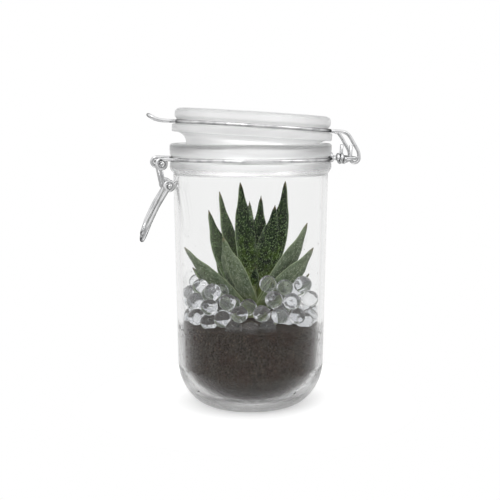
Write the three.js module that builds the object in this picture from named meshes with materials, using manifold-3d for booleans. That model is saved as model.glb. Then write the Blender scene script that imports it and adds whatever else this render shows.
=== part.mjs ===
// A clip-top glass jar planted as a terrarium: soil, clear gel beads and a small rosette succulent.
// Millimetres, +Z up. The origin is under the middle of the base, the hinge is at +X and the latch at -X.
import * as THREE from 'three';
import { mergeVertices } from 'three/addons/utils/BufferGeometryUtils.js';
import Module from 'manifold-3d';

// Driving dimensions.
const CLEAR = 0.3; // gap kept between pieces that touch
const JAR_SEGMENTS = 32;
const WALL = 3.6;
const SHOULDER = { radius: 50.5, z: 147 };
const HEEL = { radius: 48.3, z: 24 };
const FOOT = { inner: 28.5, outer: 31.5 };
const FLOOR_TOP = 7.4;
const COLLAR = { radius: 52.8, bottom: 154.4 };
const RIM_TOP = 171.8;
const MOUTH_RADIUS = 43.3;
const LIP = { radius: 6.7, x: 49.5 }; // the rounded inner edge of the rim
const WIRE_RADIUS = 1.1;
const WIRE_SIDES = 6;
const COIL_RADIUS = 2.9; // to the wire's centre
const COIL_PITCH = 2.5; // a coil's sideways step for each turn
const NECK_RING = { radius: 52.2, z: 162 };
const LID_RING = { radius: 50.6, z: 178.8 };
const LID_TOP = 187.5;
const LID_DISC_RADIUS = 50.8;
const FLANGE_RADIUS = 52.2;
const LID_OPEN_DEGREES = 3.6; // the lid stands a little ajar at rest
const HINGE = { x: 67.4, z: 162, halfWidth: 14.2 };
const HINGE_LEG_Y = 10.8;
const HINGE_WRAP = { startX: 54.6, length: 5, turns: 2 };
const WIRE_SINK = 0.5; // how far a branch's end goes into the wire it leaves
const HOOK_RADIUS = 3;
const EAR = { x: -60.2, y: 16, z: 159.5 };
const PIN_OVERHANG = 2.4; // how far a pin's end stands out of the eye that holds it
const LEVER_COIL = { x: -54.9, z: 145.4 };
const LEVER_HALF_WIDTH = 13.6;
const LEVER_END = { x: -71.8, z: 109.6 };
const BAIL_HALF_WIDTH = 8.2;
const BAIL_END = { x: -71.6, z: 113.8 };
const TONGUE = { halfWidth: 5.6, bendX: -61, tipX: -68, tipZ: 181.6 };
const SOIL_TOP = 54.5;
const SOIL_GAP = 0.4; // between the soil and the glass
const STEM = { x: 1.5, y: 0, radius: 4, bottom: 41, neck: 64, top: 78 };
const BEAD_RADIUS = 5.5;

const wasm = await Module();
wasm.setup();

// Joins and cuts.

function solidOf(geometry) {
  const bare = geometry.index ? geometry.clone() : geometry;
  bare.deleteAttribute('normal');
  bare.deleteAttribute('uv');
  const merged = mergeVertices(bare, 1e-4);
  return new wasm.Manifold(new wasm.Mesh({
    numProp: 3,
    vertProperties: new Float32Array(merged.attributes.position.array),
    triVerts: new Uint32Array(merged.index.array),
  }));
}

function geometryOf(solid) {
  const mesh = solid.getMesh();
  const geometry = new THREE.BufferGeometry();
  geometry.setAttribute('position', new THREE.BufferAttribute(mesh.vertProperties, 3));
  geometry.setIndex(new THREE.BufferAttribute(mesh.triVerts, 1));
  geometry.computeVertexNormals();
  return geometry;
}

function joined(solids) {
  return solids.reduce((whole, solid) => whole.add(solid));
}

function largestPiece(solid) {
  const pieces = solid.decompose();
  return pieces.reduce((best, piece) => (piece.volume() > best.volume() ? piece : best));
}

// Curves and sections.

function arcPoints(centreX, centreY, radius, fromDegrees, toDegrees, steps) {
  const points = [];
  for (let i = 0; i <= steps; i += 1) {
    const angle = THREE.MathUtils.degToRad(fromDegrees + ((toDegrees - fromDegrees) * i) / steps);
    points.push(new THREE.Vector2(centreX + radius * Math.cos(angle), centreY + radius * Math.sin(angle)));
  }
  return points;
}

function turned(profile, segments = JAR_SEGMENTS) {
  const points = profile.map((p) => (Array.isArray(p) ? new THREE.Vector2(p[0], p[1]) : p));
  const geometry = new THREE.LatheGeometry(points, segments);
  geometry.rotateX(Math.PI / 2);
  return solidOf(geometry);
}

function heelCurve(inset, floor, footRadius, steps) {
  const start = new THREE.Vector2(footRadius, floor);
  const end = new THREE.Vector2(HEEL.radius - inset, HEEL.z + inset * 0.6);
  const rise = end.y - floor;
  const low = new THREE.Vector2(footRadius + (end.x - footRadius) * 0.32, floor + rise * 0.05);
  const high = new THREE.Vector2(end.x - 1.1, floor + rise * 0.46);
  return new THREE.CubicBezierCurve(start, low, high, end).getPoints(steps);
}

// A wire that runs straight from each of its points to the next.
class BentWire extends THREE.Curve {
  constructor(points) {
    super();
    this.points = points;
  }

  getPoint(t, target = new THREE.Vector3()) {
    const last = this.points.length - 1;
    const index = Math.min(Math.floor(t * last + 1e-6), last - 1);
    return target.lerpVectors(this.points[index], this.points[index + 1], t * last - index);
  }

  getPointAt(u, target) {
    return this.getPoint(u, target);
  }

  getTangentAt(u, target = new THREE.Vector3()) {
    const last = this.points.length - 1;
    const index = Math.round(u * last);
    const before = this.points[Math.max(index - 1, 0)];
    const after = this.points[Math.min(index + 1, last)];
    return target.subVectors(after, before).normalize();
  }
}

function wire(points) {
  const section = arcPoints(0, 0, WIRE_RADIUS, 0, 360, WIRE_SIDES).slice(0, WIRE_SIDES);
  return solidOf(new THREE.ExtrudeGeometry(new THREE.Shape(section), {
    steps: points.length - 1,
    bevelEnabled: false,
    extrudePath: new BentWire(points),
  }));
}

function ring(radius, z) {
  const geometry = new THREE.TorusGeometry(radius, WIRE_RADIUS, WIRE_SIDES, JAR_SEGMENTS);
  geometry.translate(0, 0, z);
  return solidOf(geometry);
}

// A helix about a line along Y: angles in the XZ plane, measured from +X towards +Z.
function coilPoints(centre, y, fromDegrees, toDegrees, sideStep, steps, radius = COIL_RADIUS) {
  const points = [];
  for (let i = 0; i <= steps; i += 1) {
    const share = i / steps;
    const angle = THREE.MathUtils.degToRad(fromDegrees + (toDegrees - fromDegrees) * share);
    points.push(new THREE.Vector3(
      centre.x + radius * Math.cos(angle),
      y + sideStep * share,
      centre.z + radius * Math.sin(angle),
    ));
  }
  return points;
}

function mirrored(points) {
  return points.map((p) => new THREE.Vector3(p.x, -p.y, p.z));
}

const at = (x, y, z) => new THREE.Vector3(x, y, z);

// The glass.

function jarBody() {
  const grooveFloor = NECK_RING.radius - WIRE_RADIUS - 0.35;
  const grooveHalf = WIRE_RADIUS + CLEAR;
  const outside = [
    [0, 4.2], [18, 3.8], [FOOT.inner - 2, 0.9], [FOOT.inner, 0],
    ...heelCurve(0, 0, FOOT.outer, 6),
    [SHOULDER.radius, SHOULDER.z], [SHOULDER.radius + 0.1, COLLAR.bottom - 1.6],
    [COLLAR.radius - 0.7, COLLAR.bottom], [COLLAR.radius, COLLAR.bottom + 1.8],
    [COLLAR.radius - 0.3, NECK_RING.z - grooveHalf - 0.5],
    [grooveFloor, NECK_RING.z - grooveHalf], [grooveFloor, NECK_RING.z + grooveHalf],
    [COLLAR.radius - 0.3, NECK_RING.z + grooveHalf + 0.5], [COLLAR.radius, RIM_TOP - 4.5],
    ...arcPoints(COLLAR.radius - 3, RIM_TOP - 3, 3, 10, 90, 3),
  ];
  const inside = [
    ...arcPoints(LIP.x, RIM_TOP - LIP.radius, LIP.radius, 90, 180, 3),
    [MOUTH_RADIUS, RIM_TOP - 9], [MOUTH_RADIUS, COLLAR.bottom + 4.5],
    [SHOULDER.radius - WALL - 0.6, SHOULDER.z + 7], [SHOULDER.radius - WALL, SHOULDER.z + 5.5],
    ...heelCurve(WALL, FLOOR_TOP - 0.3, FOOT.outer - 0.5, 4).reverse(),
    [0, FLOOR_TOP],
  ];
  return turned([...outside, ...inside]);
}

function innerRadiusAt(z) {
  const slope = (SHOULDER.radius - HEEL.radius) / (SHOULDER.z - HEEL.z);
  return HEEL.radius - WALL + (z - HEEL.z) * slope;
}

function lidGlass() {
  const grooveFloor = LID_RING.radius - WIRE_RADIUS - 0.35;
  const flangeBottom = RIM_TOP + CLEAR;
  const plugRadius = LIP.x - LIP.radius - CLEAR;
  const profile = [
    [0, 176.2], [20, 175.2], [33, 172], [36.5, 165], [37.2, 160.2], [39.4, 159.3],
    [plugRadius - 0.9, 160.4],
    ...arcPoints(LIP.x, RIM_TOP - LIP.radius, LIP.radius + CLEAR, 180, 90, 3),
    [FLANGE_RADIUS - 0.6, flangeBottom], [FLANGE_RADIUS, flangeBottom + 0.7],
    [FLANGE_RADIUS, LID_RING.z - WIRE_RADIUS - 1.1], [FLANGE_RADIUS - 0.5, LID_RING.z - WIRE_RADIUS - 0.6],
    [grooveFloor, LID_RING.z - WIRE_RADIUS - CLEAR], [grooveFloor, LID_RING.z + WIRE_RADIUS + CLEAR],
    [LID_DISC_RADIUS - 1.1, LID_RING.z + WIRE_RADIUS + 0.8],
    [LID_DISC_RADIUS, LID_RING.z + WIRE_RADIUS + 2],
    ...arcPoints(LID_DISC_RADIUS - 3.2, LID_TOP - 3.2, 3.2, 10, 90, 3),
    [44, LID_TOP], [42.5, LID_TOP - 1.4], [0, LID_TOP - 1.8],
  ];
  return turned(profile);
}

// The wires.

// The wire leaves the ring, turns once round the ear's eye and comes back to the ring beside itself.
function ear(side) {
  const eye = { x: EAR.x, z: EAR.z };
  const innerY = EAR.y;
  const outerY = EAR.y + COIL_PITCH;
  const ringX = (y) => -Math.sqrt(NECK_RING.radius ** 2 - y ** 2);
  const points = [
    at(ringX(innerY) + WIRE_SINK, innerY, NECK_RING.z),
    at(EAR.x + 1.5, innerY, EAR.z + COIL_RADIUS),
    ...coilPoints(eye, innerY, 90, 450, COIL_PITCH, 11),
    at(EAR.x + 1.5, outerY, EAR.z + COIL_RADIUS),
    at(ringX(outerY) + WIRE_SINK, outerY, NECK_RING.z),
  ];
  return wire(side > 0 ? points : mirrored(points));
}

function hingeLoop() {
  const startX = Math.sqrt(NECK_RING.radius ** 2 - HINGE.halfWidth ** 2) - WIRE_SINK;
  const corner = 2.6;
  const half = [
    at(startX, HINGE.halfWidth, HINGE.z),
    at(HINGE.x - corner, HINGE.halfWidth, HINGE.z),
    at(HINGE.x - corner * 0.3, HINGE.halfWidth - corner * 0.3, HINGE.z),
    at(HINGE.x, HINGE.halfWidth - corner, HINGE.z),
  ];
  return wire([...half, ...mirrored(half).reverse()]);
}

// The ring's ends are wrapped round the loop's legs: short coils about a line along X.
function hingeWrap(side) {
  const radius = 2 * WIRE_RADIUS + CLEAR;
  const { startX, length, turns } = HINGE_WRAP;
  const steps = 7 * turns;
  const points = [at(startX - WIRE_SINK, side * HINGE.halfWidth, HINGE.z)];
  for (let i = 0; i <= steps; i += 1) {
    const share = i / steps;
    const angle = share * turns * 2 * Math.PI;
    points.push(at(
      startX + share * length,
      side * (HINGE.halfWidth + radius * Math.cos(angle)),
      HINGE.z + radius * Math.sin(angle),
    ));
  }
  points.push(at(startX + length + WIRE_SINK, side * HINGE.halfWidth, HINGE.z));
  return wire(points);
}

function neckWire() {
  return joined([
    ring(NECK_RING.radius, NECK_RING.z), ear(1), ear(-1), hingeLoop(), hingeWrap(1), hingeWrap(-1),
  ]);
}

function tongue() {
  const startX = -Math.sqrt(LID_RING.radius ** 2 - TONGUE.halfWidth ** 2) + WIRE_SINK;
  const half = [
    at(startX, TONGUE.halfWidth, LID_RING.z),
    at(TONGUE.bendX + 4, TONGUE.halfWidth, LID_RING.z - 0.2),
    at(TONGUE.bendX, TONGUE.halfWidth, LID_RING.z),
    at(TONGUE.bendX - 3.2, TONGUE.halfWidth - 0.5, LID_RING.z + 0.8),
    at(TONGUE.tipX + 1.6, TONGUE.halfWidth - 1.2, TONGUE.tipZ - 0.8),
    at(TONGUE.tipX, TONGUE.halfWidth - 3.6, TONGUE.tipZ),
  ];
  return wire([...half, ...mirrored(half).reverse()]);
}

// A leg of the lid's wire runs back, bends down, hooks under the hinge loop's bar and ends upright.
function hingeLeg(side) {
  const y = HINGE_LEG_Y;
  const startX = Math.sqrt(LID_RING.radius ** 2 - y ** 2) - WIRE_SINK;
  const outer = HINGE.x + HOOK_RADIUS;
  const points = [
    at(startX, y, LID_RING.z),
    at(58, y, LID_RING.z - 0.1),
    at(61.4, y, LID_RING.z - 1.1),
    at(63.6, y, LID_RING.z - 3.6),
    at(outer - 0.5, y, HINGE.z + 4),
    ...coilPoints(HINGE, y, 0, -180, 0, 6, HOOK_RADIUS),
    at(HINGE.x - HOOK_RADIUS, y, HINGE.z + 8),
  ];
  return wire(side > 0 ? points : mirrored(points));
}

function lidWire() {
  return joined([ring(LID_RING.radius, LID_RING.z), tongue(), hingeLeg(1), hingeLeg(-1)]);
}

// Half of a round-ended handle: down one side and round to the middle of its end. It bows by the bulge.
function handleHalf(halfWidth, from, end, bulge, steps) {
  const length = Math.hypot(end.x - from.x, end.z - from.z);
  const along = { x: (end.x - from.x) / length, z: (end.z - from.z) / length };
  const straight = length - halfWidth;
  const pointAt = (distance, y) => {
    const bow = bulge * Math.sin(Math.PI * Math.min(distance / length, 1));
    return at(from.x + along.x * distance + along.z * bow, y, from.z + along.z * distance - along.x * bow);
  };
  const points = [pointAt(straight / 2, halfWidth)];
  for (let i = 0; i <= steps; i += 1) {
    const angle = (Math.PI / 2) * (i / steps);
    points.push(pointAt(straight + halfWidth * Math.sin(angle), halfWidth * Math.cos(angle)));
  }
  return points;
}

function latchLever() {
  const pinOut = EAR.y + COIL_PITCH + PIN_OVERHANG;
  const armAngle = THREE.MathUtils.radToDeg(Math.atan2(EAR.z - LEVER_COIL.z, EAR.x - LEVER_COIL.x));
  const outward = armAngle + 90;
  const coil = coilPoints(LEVER_COIL, LEVER_HALF_WIDTH - COIL_PITCH, outward, outward + 405, COIL_PITCH, 13);
  const leave = coil[coil.length - 1];
  const half = [
    at(EAR.x, pinOut, EAR.z),
    at(EAR.x, LEVER_HALF_WIDTH - 0.6, EAR.z),
    at(EAR.x - 0.3, LEVER_HALF_WIDTH - 2.2, EAR.z - 1.6),
    ...coil,
    ...handleHalf(LEVER_HALF_WIDTH, { x: leave.x, z: leave.z }, LEVER_END, 1.6, 5),
  ];
  return wire([...half, ...mirrored(half).reverse().slice(1)]);
}

function latchBail() {
  const half = [
    at(LEVER_COIL.x, LEVER_HALF_WIDTH + PIN_OVERHANG, LEVER_COIL.z),
    at(LEVER_COIL.x, BAIL_HALF_WIDTH + 1, LEVER_COIL.z),
    at(LEVER_COIL.x - 0.9, BAIL_HALF_WIDTH, LEVER_COIL.z - 1.7),
    ...handleHalf(BAIL_HALF_WIDTH, LEVER_COIL, BAIL_END, 0, 4),
  ];
  return wire([...half, ...mirrored(half).reverse().slice(1)]);
}

// The planting.

function soilBody() {
  const edge = innerRadiusAt(SOIL_TOP) - SOIL_GAP;
  const block = turned([
    [0, FLOOR_TOP + SOIL_GAP], ...heelCurve(WALL + SOIL_GAP, FLOOR_TOP + 0.1, FOOT.outer - 0.9, 4),
    [edge, SOIL_TOP - 0.6], [edge - 1, SOIL_TOP], [0, SOIL_TOP + 0.2],
  ], 28);
  const depth = SOIL_TOP - STEM.bottom + CLEAR;
  const hole = new THREE.CylinderGeometry(STEM.radius + CLEAR, STEM.radius + CLEAR, 2 * depth, 12);
  hole.rotateX(Math.PI / 2);
  hole.translate(STEM.x, STEM.y, SOIL_TOP);
  return block.subtract(solidOf(hole));
}

// Leaves, from the heart outwards: where each points (degrees from +X towards +Y), how far its tip reaches
// from the stem, the tip's and base's heights, its width, how far its middle bows out from the straight line
// to the tip, and how far the blade is rolled about its own length.
const LEAVES = [
  { turn: 49, reach: 4, tip: 90, base: 75.5, width: 6, bow: 0.5, roll: 0 },
  { turn: 116, reach: 14, tip: 147, base: 71, width: 16.5, bow: 2, roll: 0 },
  { turn: 33, reach: 21, tip: 131, base: 70, width: 17, bow: 4, roll: 25 },
  { turn: 18, reach: 25, tip: 148, base: 67.5, width: 17.5, bow: 6.5, roll: 15 },
  { turn: 64, reach: 22, tip: 137, base: 67.5, width: 13, bow: 3.5, roll: 0 },
  { turn: 134, reach: 27.5, tip: 140, base: 67, width: 15.5, bow: 4, roll: 0 },
  { turn: 216, reach: 27.5, tip: 113, base: 64.5, width: 21, bow: 4, roll: 0 },
  { turn: 84, reach: 25, tip: 133, base: 65.5, width: 13, bow: 4, roll: 0 },
  { turn: 144, reach: 33, tip: 127.5, base: 65, width: 17, bow: 5, roll: -20 },
  { turn: -19, reach: 35.7, tip: 120.5, base: 64.5, width: 18.5, bow: 4.5, roll: -35 },
  { turn: 100, reach: 34, tip: 113, base: 63.5, width: 14, bow: 5, roll: 0 },
  { turn: -29, reach: 40.5, tip: 105, base: 62.5, width: 19, bow: 4, roll: -35 },
  { turn: 182, reach: 45, tip: 105, base: 62.5, width: 18, bow: 4, roll: 30 },
  { turn: 62, reach: 37, tip: 106, base: 62.5, width: 13, bow: 5, roll: 0 },
  { turn: 124, reach: 38, tip: 100, base: 61.5, width: 13, bow: 5, roll: 0 },
  { turn: 161, reach: 41, tip: 89.5, base: 60.5, width: 14, bow: 4, roll: -20 },
  { turn: 4, reach: 40, tip: 84.5, base: 60, width: 12, bow: 3.5, roll: -20 },
];
const LEAF_STATIONS = 7;
const LEAF_THICKNESS = 3;
const LEAF_EDGE = 0.45; // half the thickness just inside the margins
const LEAF_HOLLOW = 0.2; // how far the margins stand up, as a share of the half width
const LEAF_SIDES = 8;

// Widest halfway up, a little waisted at the base and drawn to a point at the tip.
function leafHalfWidth(leaf, share) {
  const outline = share < 0.5
    ? 0.72 + 0.28 * Math.sin(Math.PI * share)
    : 1 - Math.pow((share - 0.5) / 0.5, 1.7);
  return Math.max((leaf.width / 2) * outline, 0.35);
}

// The middle line: from the stem outwards and up to the tip.
function leafCurve(leaf) {
  const middle = { r: leaf.reach / 2, z: (leaf.base + leaf.tip) / 2 };
  const length = Math.hypot(leaf.reach, leaf.tip - leaf.base);
  const out = (leaf.tip - leaf.base) / length;
  const down = leaf.reach / length;
  return new THREE.QuadraticBezierCurve(
    new THREE.Vector2(2, leaf.base),
    new THREE.Vector2(middle.r + leaf.bow * 2 * out, middle.z - leaf.bow * 2 * down),
    new THREE.Vector2(leaf.reach, leaf.tip),
  );
}

// A leaf is hollowed above and keeled below. A grown leaf is the same one, thicker all round.
function leafSolid(leaf, grown = 0) {
  const geometry = new THREE.CylinderGeometry(1, 1, 1, LEAF_SIDES, LEAF_STATIONS);
  const curve = leafCurve(leaf);
  const turn = THREE.MathUtils.degToRad(leaf.turn);
  const position = geometry.attributes.position;
  for (let i = 0; i < position.count; i += 1) {
    const share = position.getY(i) + 0.5;
    const across = position.getX(i);
    const upper = position.getZ(i);
    const half = leafHalfWidth(leaf, share);
    const middle = curve.getPoint(share);
    const tangent = curve.getTangent(share);
    const fullness = Math.min(half / (leaf.width / 2), 1);
    const depth = (LEAF_THICKNESS / 2) * (0.35 + 0.65 * fullness) * (upper > 0 ? 0.55 : 1);
    const atMargin = Math.abs(across) > 0.99;
    const rim = atMargin ? 0 : Math.sign(upper) * (LEAF_EDGE + grown);
    const lift = LEAF_HOLLOW * half * across ** 2 + upper * depth * (1 - 0.3 * Math.abs(across)) + rim;
    const side = -across * (half + grown * 1.5);
    const roll = THREE.MathUtils.degToRad(leaf.roll) * Math.min(share / 0.35, 1);
    const rolledSide = side * Math.cos(roll) - lift * Math.sin(roll);
    const rolledLift = side * Math.sin(roll) + lift * Math.cos(roll);
    const stretch = grown * 3 * (share - 0.5);
    const r = middle.x - tangent.y * rolledLift + tangent.x * stretch;
    const z = middle.y + tangent.x * rolledLift + tangent.y * stretch;
    position.setXYZ(
      i,
      STEM.x + r * Math.cos(turn) - rolledSide * Math.sin(turn),
      STEM.y + r * Math.sin(turn) + rolledSide * Math.cos(turn),
      z,
    );
  }
  return solidOf(geometry);
}

function stemSolid(grown = 0) {
  return turned([
    [0, STEM.bottom - grown], [STEM.radius * 0.7 + grown, STEM.bottom - grown],
    [STEM.radius + grown, STEM.bottom + 4], [STEM.radius + grown, STEM.neck],
    [STEM.radius * 0.75 + grown, STEM.neck + 7], [1.4 + grown, STEM.top + grown - 1], [0, STEM.top + grown],
  ], 12).translate([STEM.x, STEM.y, 0]);
}

// Each leaf gives way to the stem and to the leaves inside it, so the bases lie round one another.
function leafSolids() {
  const solids = [];
  let taken = stemSolid(CLEAR);
  for (const leaf of LEAVES) {
    solids.push(largestPiece(leafSolid(leaf).subtract(taken)));
    taken = taken.add(leafSolid(leaf, CLEAR));
  }
  return { solids, taken };
}

function seededRandom(seed) {
  let state = seed;
  return () => {
    state = (state * 48271) % 2147483647;
    return state / 2147483647;
  };
}

// The beads stand out of a ring-shaped core that fills the bed behind them. Each row lies so far in from
// the glass and so high above the soil, and can leave a gap of so many degrees about the front of the plant,
// where the bed is lower.
const BED_FRONT = 259; // degrees from +X towards +Y
const BED_CORE = [[15, 0.8], [41, 0.8], [41.4, 16.4], [37, 20], [15, 18], [15, 0.8]]; // above the soil
const BEAD_RINGS = [
  { inset: 0, rise: 6.8, count: 20, shift: 0, gap: 0 },
  { inset: 0, rise: 15.4, count: 20, shift: 0.5, gap: 0 },
  { inset: 0.4, rise: 23, count: 18, shift: 0.2, gap: 44 },
  { inset: 12, rise: 21.6, count: 9, shift: 0.6, gap: 70 },
  { inset: 7.5, rise: 28, count: 6, shift: 0.35, gap: 60 },
];

// A bead that would meet a leaf is moved round or in until it is clear of it, or else left out.
function clearBead(radius, angle, z, taken) {
  const moves = [[0, 0, 0], [0.1, 0, 0], [-0.1, 0, 0], [0, -2.5, 0], [0.18, 0, 0], [-0.18, 0, 0], [0, 0, -3]];
  for (const [turn, outward, up] of moves) {
    const bead = new THREE.SphereGeometry(BEAD_RADIUS, 6, 4);
    bead.rotateX(Math.PI / 2);
    bead.translate(
      (radius + outward) * Math.cos(angle + turn),
      (radius + outward) * Math.sin(angle + turn),
      z + up,
    );
    const solid = solidOf(bead);
    if (solid.intersect(taken).isEmpty()) {
      return solid;
    }
  }
  return null;
}

function waterBeads(taken) {
  const random = seededRandom(41);
  const beads = [];
  for (const row of BEAD_RINGS) {
    const height = SOIL_TOP + row.rise;
    const flatRadius = innerRadiusAt(height) * Math.cos(Math.PI / JAR_SEGMENTS);
    const rowRadius = flatRadius - CLEAR - BEAD_RADIUS - row.inset;
    for (let i = 0; i < row.count; i += 1) {
      const angle = ((i + row.shift + (random() - 0.5) * 0.16) / row.count) * 2 * Math.PI;
      const bead = clearBead(rowRadius - random() * 1.2, angle, height + (random() - 0.5) * 1.6, taken);
      const fromFront = Math.abs(((THREE.MathUtils.radToDeg(angle) - BED_FRONT + 540) % 360) - 180);
      if (bead && fromFront >= row.gap / 2) {
        beads.push(bead);
      }
    }
  }
  const core = turned(BED_CORE, 20).translate([0, 0, SOIL_TOP]).subtract(taken);
  return largestPiece(joined([core, ...beads]));
}

const finish = (colour, roughness, metalness, opacity = 1) => new THREE.MeshStandardMaterial({
  color: colour, roughness, metalness, opacity, transparent: opacity < 1,
});

const CLEAR_GLASS = finish(0xe9eeee, 0.05, 0, 0.35);
const STEEL = finish(0xb9bbbc, 0.25, 1);
const DARK_SOIL = finish(0x4a403a, 0.95, 0);
const WATER_GEL = finish(0xdfe2e4, 0.05, 0, 0.5);
const LEAF_GREEN = finish(0x4b6647, 0.5, 0);
const STEM_GREEN = finish(0x8a9a6a, 0.6, 0);

const model = new THREE.Group();
const hinge = new THREE.Group();
hinge.position.set(HINGE.x, 0, HINGE.z);
hinge.rotation.y = THREE.MathUtils.degToRad(LID_OPEN_DEGREES);
model.add(hinge);

function place(name, solid, material, parent = model) {
  const mesh = new THREE.Mesh(geometryOf(solid), material);
  mesh.name = name;
  if (parent === hinge) {
    mesh.position.set(-HINGE.x, 0, -HINGE.z);
  }
  parent.add(mesh);
}

place('jar_body', jarBody(), CLEAR_GLASS);
place('neck_wire', neckWire(), STEEL);
place('lid', lidGlass(), CLEAR_GLASS, hinge);
place('lid_wire', lidWire(), STEEL, hinge);
place('latch_lever', latchLever(), STEEL);
place('latch_bail', latchBail(), STEEL);
place('soil', soilBody(), DARK_SOIL);
place('rosette_stem', stemSolid(), STEM_GREEN);
const leaves = leafSolids();
leaves.solids.forEach((solid, index) => {
  place(`leaf_${String(index + 1).padStart(2, '0')}`, solid, LEAF_GREEN);
});
place('water_beads', waterBeads(leaves.taken), WATER_GEL);

export default model;
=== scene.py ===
# %% [markdown]
# # A clip-top jar planted as a terrarium
#
# A clear glass jar stands with its wire-bound lid a little ajar. Inside are dark soil, a layer of clear
# gel beads and a small rosette succulent. Each piece could be modelled by hand, but then it would drift from
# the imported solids, which give every place and size. So this script dresses them from the same numbers: it
# turns smooth glass, bends round wire, grows finer leaves and lays many more beads.

# %% Load the frame
import math
import random

import bpy
from mathutils import Matrix, Vector, noise
from mathutils.bvhtree import BVHTree


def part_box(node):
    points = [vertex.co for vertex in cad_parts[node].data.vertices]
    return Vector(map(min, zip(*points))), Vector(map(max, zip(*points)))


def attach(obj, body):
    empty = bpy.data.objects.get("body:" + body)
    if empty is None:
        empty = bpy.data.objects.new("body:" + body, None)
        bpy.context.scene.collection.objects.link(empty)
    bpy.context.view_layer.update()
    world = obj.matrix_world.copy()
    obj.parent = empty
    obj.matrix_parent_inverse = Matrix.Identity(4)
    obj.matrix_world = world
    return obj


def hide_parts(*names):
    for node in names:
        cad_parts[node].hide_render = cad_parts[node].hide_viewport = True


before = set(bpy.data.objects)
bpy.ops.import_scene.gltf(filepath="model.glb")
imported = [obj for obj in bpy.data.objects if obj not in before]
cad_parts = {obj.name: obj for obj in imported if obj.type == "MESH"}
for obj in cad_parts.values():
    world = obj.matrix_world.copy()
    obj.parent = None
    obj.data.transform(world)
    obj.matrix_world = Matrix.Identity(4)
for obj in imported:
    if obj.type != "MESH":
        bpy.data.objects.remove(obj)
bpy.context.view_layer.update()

MM = 0.001  # sizes below are in millimetres, and Blender's are in metres

# %% [markdown]
# ## The driving sizes
#
# These are the real object's sizes, in millimetres. They could be read off the solids one by one, but named
# values say what they mean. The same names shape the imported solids, so each dressed piece falls on the solid
# that it stands for.

# %% Driving sizes
WALL = 3.6
SHOULDER_RADIUS = 50.5
SHOULDER_Z = 147.0
HEEL_RADIUS = 48.3
HEEL_Z = 24.0
FOOT_INNER = 28.5
FOOT_OUTER = 31.5
FLOOR_TOP = 7.4
COLLAR_RADIUS = 52.8
COLLAR_BOTTOM = 154.4
RIM_TOP = 171.8
MOUTH_RADIUS = 43.3
LIP_RADIUS = 6.7
RIM_ROUND = 1.8
LIP_X = 49.5
WIRE_RADIUS = 1.1
NECK_RING_RADIUS = 52.2
NECK_RING_Z = 162.0
LID_RING_RADIUS = 50.6
LID_RING_Z = 178.8
LID_TOP = 187.5
LID_DISC_RADIUS = 50.8
FLANGE_RADIUS = 52.2
LID_OPEN = math.radians(3.6)
HINGE_X = 67.4
HINGE_Z = 162.0
SOIL_TOP = 54.6
BEAD_RADIUS = 5.5
BED_FRONT = 259  # the side of the jar that faces the camera, in degrees from +X towards +Y
CLEAR = 0.3  # how far apart touching pieces are kept
GROOVE_CLEAR = 0.35  # between a wire ring and the floor of its groove
jar_low, jar_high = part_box("jar_body")
print("jar: %.1f mm across, %.1f mm tall" % ((jar_high.x - jar_low.x) / MM, jar_high.z / MM))

# %% [markdown]
# ## The camera
#
# The photograph was taken from about the lid's height, looking down by seven and a half degrees and turned by
# eleven degrees. A camera could be placed by eye. This one was fitted to the jar's outline instead, so that
# the render and the photograph can be laid over each other. A long lens keeps the jar's sides nearly upright.

# %% Camera
CAMERA_DISTANCE = 0.650  # metres
CAMERA_HEIGHT = 0.1875  # metres
CAMERA_TURN = math.radians(11)
CAMERA_PITCH = 0.1316  # radians
FOCAL_PIXELS = 990.5
PHOTO_SIZE = 500  # points across the photograph
PHOTO_SHIFT = -0.6  # how many of those points the middle lies aside
SENSOR_WIDTH = 36


def make_camera():
    camera = bpy.data.objects.new("camera", bpy.data.cameras.new("camera"))
    camera.data.sensor_width = SENSOR_WIDTH
    camera.data.lens = FOCAL_PIXELS / PHOTO_SIZE * SENSOR_WIDTH
    camera.data.shift_x = PHOTO_SHIFT / PHOTO_SIZE
    camera.location = (
        -CAMERA_DISTANCE * math.sin(CAMERA_TURN),
        -CAMERA_DISTANCE * math.cos(CAMERA_TURN),
        CAMERA_HEIGHT,
    )
    camera.rotation_euler = (math.pi / 2 - CAMERA_PITCH, 0, -CAMERA_TURN)
    bpy.context.scene.collection.objects.link(camera)
    bpy.context.scene.camera = camera
    return camera


camera = make_camera()
print("camera: %.1f mm lens" % camera.data.lens)

# %% [markdown]
# ## Shader sums as Python
#
# A finish is a net of nodes. Written node by node it is long and hard to read, so one class wraps a socket
# and lets Python's own signs add the Math nodes. Another holds a node tree and adds every other node. Each
# finish below is then one function, which returns what feeds the sockets that vary over the surface.

# %% Shader helpers
class Value:
    """A shader socket that takes part in Python sums."""

    def __init__(self, shade, socket):
        self.shade = shade
        self.socket = socket

    def __add__(self, other):
        return self.shade.math("ADD", self, other)

    def __sub__(self, other):
        return self.shade.math("SUBTRACT", self, other)

    def __rsub__(self, other):
        return self.shade.math("SUBTRACT", other, self)

    def __mul__(self, other):
        return self.shade.math("MULTIPLY", self, other)

    def __abs__(self):
        return self.shade.math("ABSOLUTE", self)

    __radd__ = __add__
    __rmul__ = __mul__


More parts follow.
